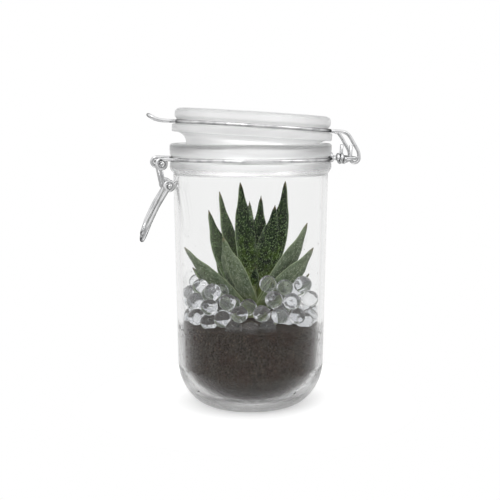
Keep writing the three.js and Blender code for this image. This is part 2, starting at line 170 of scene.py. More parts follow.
class Shade:
    """A node tree, and the calls that add nodes to it."""

    def __init__(self, tree):
        self.tree = tree

    def node(self, kind, settings, sockets, out=0):
        """Adds a node: its settings first, then a value or a link for each socket. Gives one output."""
        made = self.tree.nodes.new("ShaderNode" + kind)
        for name, setting in settings.items():
            setattr(made, name, setting)
        for key, value in sockets.items():
            self.feed(made.inputs[key], value)
        return Value(self, made.outputs[out])

    def feed(self, socket, value):
        if isinstance(value, Value):
            self.tree.links.new(value.socket, socket)
        elif isinstance(value, tuple) and len(value) == 3 and socket.type == "RGBA":
            socket.default_value = (*value, 1)
        else:
            socket.default_value = value

    def math(self, operation, *values):
        return self.node("Math", {"operation": operation}, dict(enumerate(values)))

    def clamped(self, value):
        return self.node("Clamp", {}, {"Value": value})

    def step(self, value, low, high):
        """0 below low, 1 above high, and smooth between them."""
        settings = {"interpolation_type": "SMOOTHSTEP"}
        return self.node("MapRange", settings, {"Value": value, "From Min": low, "From Max": high})

    def below(self, value, low, high):
        """1 below low, 0 above high, and smooth between them."""
        return 1 - self.step(value, low, high)

    def mix(self, factor, first, second):
        return self.node("Mix", {"data_type": "RGBA"}, {0: factor, 6: first, 7: second}, 2)

    def layered(self, colour, *layers):
        """A colour with others laid over it in turn. Each layer is a mask and its colour."""
        for mask, over in layers:
            colour = self.mix(mask, colour, over)
        return colour

    def place(self):
        """Where a point is on the piece, in metres in the frame."""
        return self.node("TexCoord", {}, {}, "Object")

    def height(self):
        return self.node("SeparateXYZ", {}, {"Vector": self.place()}, 2)

    def noise(self, scale, detail=3.0, roughness=0.5, where=None):
        sockets = {"Scale": scale, "Detail": detail, "Roughness": roughness}
        return self.node("TexNoise", {}, {**sockets, "Vector": where or self.place()}, "Fac")

    def cells(self, scale):
        """The distance to the nearest of many scattered points, in cells."""
        return self.node("TexVoronoi", {}, {"Scale": scale, "Vector": self.place()})

    def stretched(self, scale):
        """A place whose three axes are scaled apart, for grain that runs one way."""
        return self.node("Mapping", {}, {"Vector": self.place(), "Scale": scale})

    def attribute(self, name):
        """A number that the mesh carries at each point, or 0 where it carries none."""
        return self.node("Attribute", {"attribute_name": name}, {}, "Fac")

    def bump(self, height, strength, distance):
        return self.node("Bump", {}, {"Height": height, "Strength": strength, "Distance": distance})


def new_finish(name, look, fixed):
    """A material with one Principled shader: its fixed socket values, and those that its look gives."""
    material = bpy.data.materials.new(name)
    material.use_nodes = True
    shade = Shade(material.node_tree)
    principled = material.node_tree.nodes["Principled BSDF"]
    for key, value in {**fixed, **look(shade)}.items():
        shade.feed(principled.inputs[key], value)
    print("finish:", name)
    return material


def linear(red, green, blue):
    """A colour as seen on a screen, from 0 to 255, as the linear light that a shader works in."""
    def one(part):
        part = part / 255
        return part / 12.92 if part <= 0.04045 else ((part + 0.055) / 1.055) ** 2.4
    return (one(red), one(green), one(blue))


print("shader helpers ready")

# %% [markdown]
# ## Mesh helpers
#
# Pressed glass is a solid of revolution, and wire is a round section along a path. Curves with modifiers
# could make both. Here plain functions do, since then each point's place is known. Both start from a few
# points whose corners are rounded off first, as a mould's edges and a bent wire's corners are.

# %% Mesh helpers
def rounded(points, radius, steps=5):
    """The same path with its corners replaced by small arcs, each less than half a side long."""
    points = [Vector(point) for point in points]
    result = [points[0]]
    for previous, corner, following in zip(points, points[1:], points[2:]):
        before = previous - corner
        after = following - corner
        reach = min(radius, before.length * 0.45, after.length * 0.45)
        start = corner + before.normalized() * reach
        end = corner + after.normalized() * reach
        for step in range(steps + 1):
            share = step / steps
            result.append(start * (1 - share) ** 2 + corner * 2 * share * (1 - share) + end * share ** 2)
    return [*result, points[-1]]


def arc(centre_x, centre_y, radius, start, end, steps):
    """Points of an arc between two angles in degrees."""
    angles = [math.radians(start + (end - start) * step / steps) for step in range(steps + 1)]
    return [(centre_x + radius * math.cos(a), centre_y + radius * math.sin(a)) for a in angles]


def new_piece(name, vertices, faces, material, crease=40):
    """A mesh object in the frame, from points in millimetres. Edges sharper than crease stay sharp."""
    mesh = bpy.data.meshes.new(name)
    mesh.from_pydata([Vector(vertex) * MM for vertex in vertices], [], faces)
    mesh.validate()
    mesh.shade_smooth()
    mesh.set_sharp_from_angle(angle=math.radians(crease))
    mesh.materials.append(material)
    piece = bpy.data.objects.new(name, mesh)
    bpy.context.scene.collection.objects.link(piece)
    return piece


def turned(profile, segments):
    """Points and faces of a closed solid of revolution. The profile starts and ends on the axis."""
    vertices = [(0, 0, profile[0][1])]
    for radius, height in profile[1:-1]:
        for segment in range(segments):
            angle = 2 * math.pi * segment / segments
            vertices.append((radius * math.cos(angle), radius * math.sin(angle), height))
    starts = range(1, len(vertices), segments)
    faces = []
    for segment in range(segments):
        after = (segment + 1) % segments
        faces.append((0, starts[0] + after, starts[0] + segment))
        faces.append((len(vertices), starts[-1] + segment, starts[-1] + after))
        for low, high in zip(starts, starts[1:]):
            faces.append((low + segment, low + after, high + after, high + segment))
    return [*vertices, (0, 0, profile[-1][1])], faces


def between_rings(starts, count):
    """Faces that join rings of so many points, each ring to the next."""
    faces = []
    for low, high in zip(starts, starts[1:]):
        for step in range(count):
            after = (step + 1) % count
            faces.append((low + step, low + after, high + after, high + step))
    return faces


BAR_SIDES = 16
BAR_END_DOME = [(0.55, 0.35), (0.85, 0.12)]  # how wide and how far out, in radii of the bar


def swept(path, radius, closed=False):
    """Points and faces of a round bar along a path, with slightly domed ends."""
    path = [Vector(point) for point in path]
    count = len(path)
    tangents = []
    for index in range(count):
        before = path[index - 1] if closed or index else path[0]
        after = path[(index + 1) % count] if closed or index < count - 1 else path[-1]
        tangents.append((after - before).normalized())
    side = tangents[0].orthogonal().normalized()
    rings = []
    for point, tangent in zip(path, tangents):
        side = (side - tangent * side.dot(tangent)).normalized()
        rings.append((point, tangent, side, radius))
    if not closed:
        starts = [end_ring(rings[0], -out, wide) for wide, out in BAR_END_DOME]
        ends = [end_ring(rings[-1], out, wide) for wide, out in reversed(BAR_END_DOME)]
        rings = starts + rings + ends
    vertices = []
    for point, tangent, side, wide in rings:
        up = tangent.cross(side)
        for step in range(BAR_SIDES):
            angle = 2 * math.pi * step / BAR_SIDES
            vertices.append(point + side * wide * math.cos(angle) + up * wide * math.sin(angle))
    starts = list(range(0, len(vertices), BAR_SIDES))
    if closed:
        return vertices, between_rings([*starts, 0], BAR_SIDES)
    end_faces = [tuple(reversed(range(BAR_SIDES))), tuple(range(starts[-1], len(vertices)))]
    return vertices, between_rings(starts, BAR_SIDES) + end_faces


def end_ring(ring, out, wide):
    """A narrower ring beyond the end of a bar."""
    point, tangent, side, radius = ring
    return point + tangent * radius * out, tangent, side, radius * wide


def merged(parts):
    """Several sets of points and faces as one."""
    vertices = []
    faces = []
    for part_vertices, part_faces in parts:
        start = len(vertices)
        vertices += part_vertices
        faces += [tuple(start + index for index in face) for face in part_faces]
    return vertices, faces


def carry(piece, name, values):
    """Writes a number for each point into the mesh, for the finish to read."""
    piece.data.attributes.new(name, "FLOAT", "POINT").data.foreach_set("value", values)


def dress(piece, body, slot, *nodes):
    """The piece rides on its body and stands for the nodes. The slot is not used."""
    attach(piece, body)
    if nodes:
        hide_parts(*nodes)
    print(piece.name, len(piece.data.polygons), "faces on", body)
    return piece


print("mesh helpers ready")

# %% [markdown]
# ## Clear pressed glass
#
# Pressed glass isn't optically flat: the mould leaves a faint ripple, which bends what shows through it. The
# collar and the lid come out softer than the wall, fine pits stipple the heel above the foot, and damp soil
# clouds the inside of the wall. A see-through shader with a reflection would be quick. A full refracting one
# is used, since it gives the bright and dark lines at every edge. Its own reflection is turned down, because
# the white room would lay a haze over the soil. Rays from lamps pass straight through, so the plant inside is
# lit without noise.

# %% Glass finish
GLASS_INDEX = 1.5
GLASS_COLOUR = (0.985, 0.987, 0.985)
# painted light: the collar and the lid lose the wall's tint, so that they show lighter
COLLAR_PAINTED_LIGHT_TINT = (1.0, 1.0, 1.0)
COLLAR_FADE = 3.0  # to each side of the collar's lower edge
COLLAR_SOFTNESS = 0.29
SOIL_CLOUD = 0.15
SOIL_CLOUD_FADE = 3.0
FOOT_RIDGE_TOP = 1.8
HEEL_STIPPLE_TOP = 7.0
HEEL_STIPPLE = 1.7
PITS_TO_THE_METRE = 820


def let_lamps_through(material):
    """Rays from lamps pass straight through, and all others are bent."""
    shade = Shade(material.node_tree)
    nodes = material.node_tree.nodes
    bent = Value(shade, nodes["Principled BSDF"].outputs[0])
    lamp_ray = shade.node("LightPath", {}, {}, "Is Shadow Ray")
    see_through = shade.node("BsdfTransparent", {}, {"Color": (0.9, 0.91, 0.91)})
    mixed = shade.node("MixShader", {}, {0: lamp_ray, 1: bent, 2: see_through})
    shade.feed(nodes["Material Output"].inputs["Surface"], mixed)
    return material


def glass_look(shade):
    ripple = shade.noise(1.0, 2.0, 0.5, shade.stretched((24, 24, 90)))
    height = shade.height()
    collar = shade.step(height, (COLLAR_BOTTOM - COLLAR_FADE) * MM, (COLLAR_BOTTOM + COLLAR_FADE) * MM)
    in_soil = shade.below(height, SOIL_TOP * MM, (SOIL_TOP + SOIL_CLOUD_FADE) * MM)
    clouded = shade.attribute("inside") * in_soil
    heel = shade.below(height, HEEL_STIPPLE_TOP * MM, 2 * HEEL_STIPPLE_TOP * MM)
    heel = heel * shade.step(height, FOOT_RIDGE_TOP * MM, 2 * FOOT_RIDGE_TOP * MM)
    stipple = HEEL_STIPPLE * heel * shade.cells(PITS_TO_THE_METRE)
    return {
        # Painted light: the collar and the lid are given no tint, so that they show lighter than the wall.
        "Base Color": shade.mix(collar, GLASS_COLOUR, COLLAR_PAINTED_LIGHT_TINT),
        "Roughness": 0.012 + COLLAR_SOFTNESS * collar + SOIL_CLOUD * clouded + 0.01 * ripple,
        "Normal": shade.bump(0.08 * ripple + stipple, 1.0, 0.00025),
    }


glass_sockets = {"IOR": GLASS_INDEX, "Specular Tint": (0.25, 0.25, 0.25), "Transmission Weight": 1.0}
glass = let_lamps_through(new_finish("pressed_glass", glass_look, glass_sockets))

# %% [markdown]
# ## The jar
#
# The wall is thick, the base thicker, and the heel curves in to a ring-shaped foot. Near the top are a
# shoulder, a heavy collar with a groove for the neck wire, and a rounded rim. A thin skin would refract
# wrongly, so the jar is one closed solid. Its profile runs from the middle of the base up the outside, over
# the rim and down the inside. The mesh tells the finish which points lie inside.

# %% Jar
JAR_SEGMENTS = 240
MOULD_ROUND = 1.2  # how the mould's corners are rounded
FOOT_RIDGES = 60
FOOT_RIDGE_DEPTH = 0.3


def heel_curve(inset, floor, foot_radius, steps):
    """The curve of the jar's heel, from the foot or the inner floor up to the straight wall."""
    start = Vector((foot_radius, floor))
    end = Vector((HEEL_RADIUS - inset, HEEL_Z + inset * 0.6))
    rise = end.y - floor
    low = Vector((foot_radius + (end.x - foot_radius) * 0.32, floor + rise * 0.05))
    high = Vector((end.x - 1.1, floor + rise * 0.46))
    points = []
    for step in range(steps + 1):
        t = step / steps
        s = 1 - t
        points.append(tuple(start * s ** 3 + low * 3 * s * s * t + high * 3 * s * t * t + end * t ** 3))
    return points


def inner_radius(height):
    """The inside of the jar's straight wall at a height."""
    slope = (SHOULDER_RADIUS - HEEL_RADIUS) / (SHOULDER_Z - HEEL_Z)
    return HEEL_RADIUS - WALL + (height - HEEL_Z) * slope


def smooth_profile(points, radius):
    """A profile with its corners rounded off, as plain pairs."""
    return [tuple(point)[:2] for point in rounded([(*p, 0) for p in points], radius, 3)]


def ridged(x, y, z):
    """A point of the jar. Short ridges cross the foot, which keep the warm glass off the belt."""
    radius = math.hypot(x, y)
    if z < FOOT_RIDGE_TOP and radius > FOOT_INNER - 1:
        ridge = math.cos(FOOT_RIDGES * math.atan2(y, x)) - 1
        radius_share = 1 + FOOT_RIDGE_DEPTH * ridge * (1 - z / FOOT_RIDGE_TOP) / radius
        return (x * radius_share, y * radius_share, z)
    return (x, y, z)


def jar_profile():
    groove_floor = NECK_RING_RADIUS - WIRE_RADIUS - GROOVE_CLEAR
    groove_half = WIRE_RADIUS + CLEAR
    outside = [
        (0, 4.2), (18, 3.8), (FOOT_INNER - 2, 0.9), (FOOT_INNER, 0),
        *heel_curve(0, 0, FOOT_OUTER, 20),
        (SHOULDER_RADIUS, SHOULDER_Z), (SHOULDER_RADIUS + 0.1, COLLAR_BOTTOM - 1.6),
        (COLLAR_RADIUS - 0.7, COLLAR_BOTTOM), (COLLAR_RADIUS, COLLAR_BOTTOM + 1.8),
        (COLLAR_RADIUS - 0.3, NECK_RING_Z - groove_half - 0.5),
        (groove_floor, NECK_RING_Z - groove_half), (groove_floor, NECK_RING_Z + groove_half),
        (COLLAR_RADIUS - 0.3, NECK_RING_Z + groove_half + 0.5), (COLLAR_RADIUS, RIM_TOP - 4),
        *arc(COLLAR_RADIUS - RIM_ROUND, RIM_TOP - RIM_ROUND, RIM_ROUND, 10, 90, 6),
    ]
    inside = [
        *arc(LIP_X, RIM_TOP - LIP_RADIUS, LIP_RADIUS, 90, 180, 10),
        (MOUTH_RADIUS, RIM_TOP - 9), (MOUTH_RADIUS, COLLAR_BOTTOM + 4.5),
        (SHOULDER_RADIUS - WALL - 0.6, SHOULDER_Z + 7), (SHOULDER_RADIUS - WALL, SHOULDER_Z + 5.5),
        *reversed(heel_curve(WALL, FLOOR_TOP - 0.3, FOOT_OUTER - 0.5, 16)),
        (0, FLOOR_TOP),
    ]
    return smooth_profile(outside + inside, MOULD_ROUND)


def make_jar():
    profile = jar_profile()
    vertices, faces = turned(profile, JAR_SEGMENTS)
    vertices = [ridged(*vertex) for vertex in vertices]
    piece = new_piece("jar_glass", vertices, faces, glass)
    rim = max(range(len(profile)), key=lambda index: profile[index][1])
    inside = [float(index > rim * JAR_SEGMENTS) for index in range(len(vertices))]
    carry(piece, "inside", inside)
    dress(piece, "jar", "glass", "jar_body")


make_jar()

# %% [markdown]
# ## The lid
#
# The lid is a dished disc with a hanging plug that closes the mouth. Its edge carries a groove for the lid
# wire and a row of small moulded beads on top, which a thumb finds. It could be drawn ajar. It is turned in
# its closed place instead, where it is round about the jar's axis, and then swung about the hinge.

# %% Lid
GRIP_BEADS = 27
GRIP_BEAD_RADIUS = 0.55
GRIP_TURN = 263  # degrees from +X towards +Y, at the middle of the row
GRIP_STEP = 1.65  # degrees from one to the next
LID_EDGE_ROUND = 3.2


def swung(vertices):
    """Points of the closed lid, swung to where it stands ajar."""
    hinge = Vector((HINGE_X, 0, HINGE_Z))
    turn = Matrix.Rotation(LID_OPEN, 3, "Y")
    return [turn @ (Vector(vertex) - hinge) + hinge for vertex in vertices]


def lid_profile():
    groove_floor = LID_RING_RADIUS - WIRE_RADIUS - GROOVE_CLEAR
    flange_bottom = RIM_TOP + CLEAR
    plug_radius = LIP_X - LIP_RADIUS - CLEAR
    points = [
        (0, 176.2), (20, 175.2), (33, 172), (36.5, 165),  # the hollow under the disc
        (37.2, 160.2), (39.4, 159.3), (plug_radius - 0.9, 160.4),  # the plug's lower edge
        *arc(LIP_X, RIM_TOP - LIP_RADIUS, LIP_RADIUS + CLEAR, 180, 90, 10),
        (FLANGE_RADIUS - 0.6, flange_bottom), (FLANGE_RADIUS, flange_bottom + 0.7),
        (FLANGE_RADIUS, LID_RING_Z - WIRE_RADIUS - 1.1),
        (FLANGE_RADIUS - 0.5, LID_RING_Z - WIRE_RADIUS - 0.6),
        (groove_floor, LID_RING_Z - WIRE_RADIUS - CLEAR), (groove_floor, LID_RING_Z + WIRE_RADIUS + CLEAR),
        (LID_DISC_RADIUS - 1.1, LID_RING_Z + WIRE_RADIUS + 0.8),
        (LID_DISC_RADIUS, LID_RING_Z + WIRE_RADIUS + 2),
        *arc(LID_DISC_RADIUS - LID_EDGE_ROUND, LID_TOP - LID_EDGE_ROUND, LID_EDGE_ROUND, 10, 90, 7),
        (44, LID_TOP), (42.5, LID_TOP - 1.4), (0, LID_TOP - 1.8),
    ]
    return smooth_profile(points, MOULD_ROUND)


def grip_bead(turn):
    """A small dome half sunk in the lid's rounded top edge."""
    radius = LID_DISC_RADIUS - LID_EDGE_ROUND * 0.45
    height = LID_TOP - LID_EDGE_ROUND * 0.25
    centre = Vector((radius * math.cos(turn), radius * math.sin(turn), height))
    profile = [(0, -GRIP_BEAD_RADIUS), *arc(0, 0, GRIP_BEAD_RADIUS, -60, 60, 4), (0, GRIP_BEAD_RADIUS)]
    vertices, faces = turned(profile, 10)
    return [Vector(vertex) + centre for vertex in vertices], faces


def make_lid():
    vertices, faces = turned(lid_profile(), JAR_SEGMENTS)
    dress(new_piece("lid_glass", swung(vertices), faces, glass), "lid", "glass", "lid")


def make_grip_beads():
    turns = [GRIP_TURN + (index - (GRIP_BEADS - 1) / 2) * GRIP_STEP for index in range(GRIP_BEADS)]
    vertices, faces = merged([grip_bead(math.radians(turn)) for turn in turns])
    dress(new_piece("lid_grip_beads", swung(vertices), faces, glass), "lid", "glass")


make_lid()
make_grip_beads()

# %% [markdown]
# ## Bright wire
#
# The clip is plated steel wire. It is drawn through a die, which leaves fine lines, and handling dulls it in
# patches. One grey metal would look like plastic, so noise drives the colour and the roughness together. The
# tint at grazing angles is kept low, which draws the dark edges that bright wire shows in a white room.

# %% Wire finish
BRIGHT_PLATING = linear(232, 232, 233)
DULL_PLATING = linear(198, 199, 200)


def wire_look(shade):
    drawn = shade.noise(1.0, 4.0, 0.6, shade.stretched((900, 900, 260)))
    dull = shade.step(shade.noise(160, 3.0), 0.42, 0.7)
    return {
        "Base Color": shade.mix(dull, BRIGHT_PLATING, DULL_PLATING),
        "Roughness": 0.12 + 0.1 * dull + 0.05 * drawn,
        "Normal": shade.bump(drawn, 0.1, 0.00003),
    }


steel = new_finish("plated_wire", wire_look, {"Metallic": 1.0, "Specular Tint": (0.04, 0.04, 0.04)})

# %% [markdown]
# ## The wires
#
# Each wire is one bent piece: a ring in its groove, and eyes, legs, hooks or handles that leave it. Tori and
# cylinders put together would show seams, so each length is swept along one path. An eye is a helix of one
# turn, so that the wire passes itself without touching. Every path is drawn for the +Y side and mirrored.

# %% Wire paths
COIL_RADIUS = 2.9
COIL_PITCH = 2.5
EAR = Vector((-60.2, 16, 159.5))
PIN_OVERHANG = 2.4
LEVER_COIL = Vector((-54.9, 0, 145.4))
LEVER_HALF_WIDTH = 13.6
LEVER_END = Vector((-71.8, 0, 109.6))
BAIL_HALF_WIDTH = 8.2
BAIL_END = Vector((-71.6, 0, 113.8))
TONGUE_HALF_WIDTH = 5.6
TONGUE_BEND_X = -61
TONGUE_TIP_X = -68
TONGUE_TIP_Z = 181.6
HINGE_HALF_WIDTH = 14.2
HINGE_LEG_Y = 10.8
HOOK_RADIUS = 3.0
WRAP_START_X = 54.6
WRAP_LENGTH = 5.0
WRAP_TURNS = 2
WIRE_SINK = 0.5
BEND = 2.2  # how far a bend reaches from its corner
RING_STEPS = 160
HELIX_STEP = 12  # degrees
SAME_POINT = 0.05  # two points of a path that lie closer count as one


def helix(centre, y, start, end, side_step, radius=COIL_RADIUS):
    """A coil about a line along Y. Angles in degrees run in the XZ plane from +X towards +Z."""
    steps = round(abs(end - start) / HELIX_STEP)
    circle = arc(centre.x, centre.z, radius, start, end, steps)
    return [Vector((x, y + side_step * index / steps, z)) for index, (x, z) in enumerate(circle)]


def mirrored(points):
    return [Vector((point[0], -point[1], point[2])) for point in points]


def both_sides(points):
    """A half path and its mirror image, as two bars."""
    return [swept(rounded(side, BEND), WIRE_RADIUS) for side in (points, mirrored(points))]


def one_bar(half):
    """A half path carried on through the middle by its mirror image, as one bar."""
    joined = [Vector(point) for point in half] + mirrored(half)[::-1]
    path = joined[:1]
    for point, previous in zip(joined[1:], joined):
        if (point - previous).length > SAME_POINT:
            path.append(point)
    return swept(rounded(path, BEND), WIRE_RADIUS)


def ring(radius, height):
    circle = arc(0, 0, radius, 0, 360, RING_STEPS)[:-1]
    return swept([(x, y, height) for x, y in circle], WIRE_RADIUS, closed=True)


def ring_x(ring_radius, y):
    """How far along X a ring is at a Y."""
    return math.sqrt(ring_radius ** 2 - y ** 2)


def ear_path():
    """Out of the neck ring, once round the eye, and back to the ring beside itself."""
    outer_y = EAR.y + COIL_PITCH
    return [
        (-ring_x(NECK_RING_RADIUS, EAR.y) + WIRE_SINK, EAR.y, NECK_RING_Z),
        (EAR.x + 1.5, EAR.y, EAR.z + COIL_RADIUS),
        *helix(EAR, EAR.y, 90, 450, COIL_PITCH),
        (EAR.x + 1.5, outer_y, EAR.z + COIL_RADIUS),
        (-ring_x(NECK_RING_RADIUS, outer_y) + WIRE_SINK, outer_y, NECK_RING_Z),
    ]


def hinge_loop_path():
    start = ring_x(NECK_RING_RADIUS, HINGE_HALF_WIDTH) - WIRE_SINK
    return [(start, HINGE_HALF_WIDTH, HINGE_Z), (HINGE_X, HINGE_HALF_WIDTH, HINGE_Z)]


def wrap_path():
    """The neck ring's end, wound twice round the hinge loop's leg."""
    steps = 20 * WRAP_TURNS
    circle = arc(HINGE_HALF_WIDTH, HINGE_Z, 2 * WIRE_RADIUS + CLEAR, 0, 360 * WRAP_TURNS, steps)
    return [
        (WRAP_START_X - WIRE_SINK, HINGE_HALF_WIDTH, HINGE_Z),
        *[(WRAP_START_X + WRAP_LENGTH * index / steps, y, z) for index, (y, z) in enumerate(circle)],
        (WRAP_START_X + WRAP_LENGTH + WIRE_SINK, HINGE_HALF_WIDTH, HINGE_Z),
    ]


def tongue_path():
    return [
        (-ring_x(LID_RING_RADIUS, TONGUE_HALF_WIDTH) + WIRE_SINK, TONGUE_HALF_WIDTH, LID_RING_Z),
        (TONGUE_BEND_X + 4, TONGUE_HALF_WIDTH, LID_RING_Z - 0.2),
        (TONGUE_BEND_X, TONGUE_HALF_WIDTH, LID_RING_Z),
        (TONGUE_BEND_X - 3.2, TONGUE_HALF_WIDTH - 0.5, LID_RING_Z + 0.8),
        (TONGUE_TIP_X + 1.6, TONGUE_HALF_WIDTH - 1.2, TONGUE_TIP_Z - 0.8),
        (TONGUE_TIP_X, TONGUE_HALF_WIDTH - 3.6, TONGUE_TIP_Z),
    ]


def hinge_leg_path():
    """Back from the lid ring, down, under the hinge loop's bar, and up to a free end."""
    y = HINGE_LEG_Y
    hinge = Vector((HINGE_X, y, HINGE_Z))
    return [
        (ring_x(LID_RING_RADIUS, y) - WIRE_SINK, y, LID_RING_Z),
        (58, y, LID_RING_Z - 0.1),
        (61.4, y, LID_RING_Z - 1.1),
        (63.6, y, LID_RING_Z - 3.6),
        (HINGE_X + HOOK_RADIUS - 0.5, y, HINGE_Z + 4),
        *helix(hinge, y, 0, -180, 0, HOOK_RADIUS),
        (HINGE_X - HOOK_RADIUS, y, HINGE_Z + 8),
    ]


def handle_half(half_width, start, end, bulge, steps):
    """Half of a round-ended handle: down one side and round to the middle of its end."""
    along = (end - start).normalized()
    across = Vector((along.z, 0, -along.x))
    length = (end - start).length
    straight = length - half_width

    def point_at(distance, y):
        bow = bulge * math.sin(math.pi * min(distance / length, 1))
        return start + along * distance + across * bow + Vector((0, y, 0))

    round_end = [point_at(straight + out, y) for y, out in arc(0, 0, half_width, 0, 90, steps)]
    return [point_at(straight / 2, half_width), *round_end]


def lever_path():
    arm = math.degrees(math.atan2(EAR.z - LEVER_COIL.z, EAR.x - LEVER_COIL.x))
    coil = helix(LEVER_COIL, LEVER_HALF_WIDTH - COIL_PITCH, arm + 90, arm + 495, COIL_PITCH)
    leave = Vector((coil[-1].x, 0, coil[-1].z))
    return [
        (EAR.x, EAR.y + COIL_PITCH + PIN_OVERHANG, EAR.z),
        (EAR.x, LEVER_HALF_WIDTH - 0.6, EAR.z),
        (EAR.x - 0.3, LEVER_HALF_WIDTH - 2.2, EAR.z - 1.6),
        *coil,
        *handle_half(LEVER_HALF_WIDTH, leave, LEVER_END, 1.6, 14),
    ]


def bail_path():
    return [
        (LEVER_COIL.x, LEVER_HALF_WIDTH + PIN_OVERHANG, LEVER_COIL.z),
        (LEVER_COIL.x, BAIL_HALF_WIDTH + 1, LEVER_COIL.z),
        (LEVER_COIL.x - 0.9, BAIL_HALF_WIDTH, LEVER_COIL.z - 1.7),
        *handle_half(BAIL_HALF_WIDTH, LEVER_COIL, BAIL_END, 0, 12),
    ]


print("latch: %.1f mm from the ears to the coils" % (EAR - LEVER_COIL - Vector((0, EAR.y, 0))).length)

# %% [markdown]
# ## Two clips and two handles
#
# The neck clip stays on the jar and the lid clip goes with the lid. The handle and its bail turn by
# themselves. They could be one mesh, but each has to ride on the body that it moves with.

# %% Make the wires
def make_wire(name, bars, body, node, move=list):
    vertices, faces = merged(bars)
    dress(new_piece(name, move(vertices), faces, steel, crease=60), body, "wire", node)


neck_bars = [ring(NECK_RING_RADIUS, NECK_RING_Z), *both_sides(ear_path()), one_bar(hinge_loop_path())]
neck_bars += both_sides(wrap_path())
make_wire("neck_clip_wire", neck_bars, "jar", "neck_wire")
lid_bars = [ring(LID_RING_RADIUS, LID_RING_Z), one_bar(tongue_path()), *both_sides(hinge_leg_path())]
make_wire("lid_clip_wire", lid_bars, "lid", "lid_wire", swung)
make_wire("latch_handle_wire", [one_bar(lever_path())], "lever", "latch_lever")
make_wire("latch_bail_wire", [one_bar(bail_path())], "bail", "latch_bail")

# %% [markdown]
# ## The soil
#
# Fine, dark potting soil fills the jar's lower third and lies against the glass. Seen through the wall it is
# a surface of small crumbs with a few lighter and redder flecks, wetter and darker at the bottom. Thousands
# of grains would be slow to draw. So a turned block is pushed in and out by noise for the crumbs, and its
# finish adds the grain that is finer than the mesh.

# %% Soil
SOIL_GAP = 0.1
WET_SOIL_TOP = 24.0  # below this it is wet, and settles a little closer to the glass
SOIL_CRUMB = 0.3  # how far crumbs stand out and hollows go in
SOIL_SEGMENTS = 320
SOIL_RISE = 2.5  # how much higher it lies about the stem
SOIL_SKIRT = 0.6  # how far under the surface its wall ends
WALL_ROWS = 44
DAMP_BELOW = 18
DRY_ABOVE = 32
GRAIN_DARK = linear(14, 11, 9)
GRAIN_LIGHT = linear(96, 88, 81)
RUST = linear(60, 44, 38)
DAMP = linear(18, 14, 11)
FLECK = linear(142, 118, 100)
# painted shade in small hollows between the crumbs
PAINTED_PIT_SHADE = linear(24, 21, 19)


def soil_look(shade):
    grain = shade.noise(1000, 5.0, 0.85)
    patches = shade.noise(110, 3.0)
    colour = shade.layered(
        shade.mix(shade.step(grain, 0.36, 0.66), GRAIN_DARK, GRAIN_LIGHT),
        (0.45 * shade.step(patches, 0.4, 0.7), RUST),
        (0.55 * shade.below(shade.height() + 0.006 * patches, DAMP_BELOW * MM, DRY_ABOVE * MM), DAMP),
        (0.6 * shade.below(shade.cells(420), 0.11, 0.16), FLECK),
        # painted shade: small dark spots for the hollows between crumbs
        (0.75 * shade.below(shade.cells(330), 0.12, 0.2), PAINTED_PIT_SHADE),
    )
    return {"Base Color": colour, "Normal": shade.bump(grain, 0.8, 0.0006)}


def soil_height(x, y):
    """The surface of the soil: a low heap about the stem, which dips and rises."""
    out = math.hypot(x, y) / inner_radius(SOIL_TOP)
    return SOIL_TOP + SOIL_RISE * (1 - out ** 2) + 0.9 * noise.noise(Vector((x, y, 0)) * 0.11)


def crumbled_point(point, edge):
    """A point of the smooth soil, moved to the uneven surface and in or out by crumbs."""
    crumb = noise.noise(point * 0.9) * 0.6 + noise.noise(point * 2.1) * 0.6
    lift = soil_height(point.x, point.y) - SOIL_TOP
    point.z += lift * max(0, (point.z - 0.6 * SOIL_TOP) / (0.4 * SOIL_TOP))
    if math.hypot(point.x, point.y) < edge * 0.995 and point.z > 0.9 * SOIL_TOP:
        point.z += 2 * SOIL_CRUMB * crumb
    else:
        radius = max(math.hypot(point.x, point.y), 5)
        wet = SOIL_GAP * max(0, 1 - point.z / WET_SOIL_TOP)
        share = 1 - (SOIL_CRUMB * crumb - wet) / radius
        point.x *= share
        point.y *= share
    return point


def make_soil():
    edge = inner_radius(SOIL_TOP) - SOIL_GAP
    heel = heel_curve(WALL + SOIL_GAP, FLOOR_TOP - 0.3 + SOIL_GAP, FOOT_OUTER - 0.5 - SOIL_GAP, 26)
    low, high = Vector(heel[-1]), Vector((edge, SOIL_TOP - SOIL_SKIRT))
    wall = [tuple(low.lerp(high, row / WALL_ROWS)) for row in range(1, WALL_ROWS + 1)]
    top = [(edge * share, SOIL_TOP) for share in (0.99, 0.94, 0.88, 0.8, 0.7, 0.6, 0.5, 0.4, 0.3, 0.2, 0.13)]
    profile = [(0, FLOOR_TOP + SOIL_GAP), *heel, *wall, *top, (0, SOIL_TOP)]
    vertices, faces = turned(profile, SOIL_SEGMENTS)
    crumbled = [crumbled_point(Vector(vertex), edge) for vertex in vertices]
    dress(new_piece("potting_soil", crumbled, faces, soil, crease=80), "jar", "soil", "soil")


soil = new_finish("potting_soil", soil_look, {"Roughness": 0.95, "Specular IOR Level": 0.2})
make_soil()

# %% [markdown]
# ## Crumbs on the glass
#
# Planting leaves stray crumbs stuck to the inside of the wall, thickest just above the soil. Dots painted on
# the glass would look flat and would bend with its ripple. These are real grains in one mesh, laid by a
# seeded draw so that they come out the same each time.

# %% Stray crumbs
STRAY_CRUMBS = 170


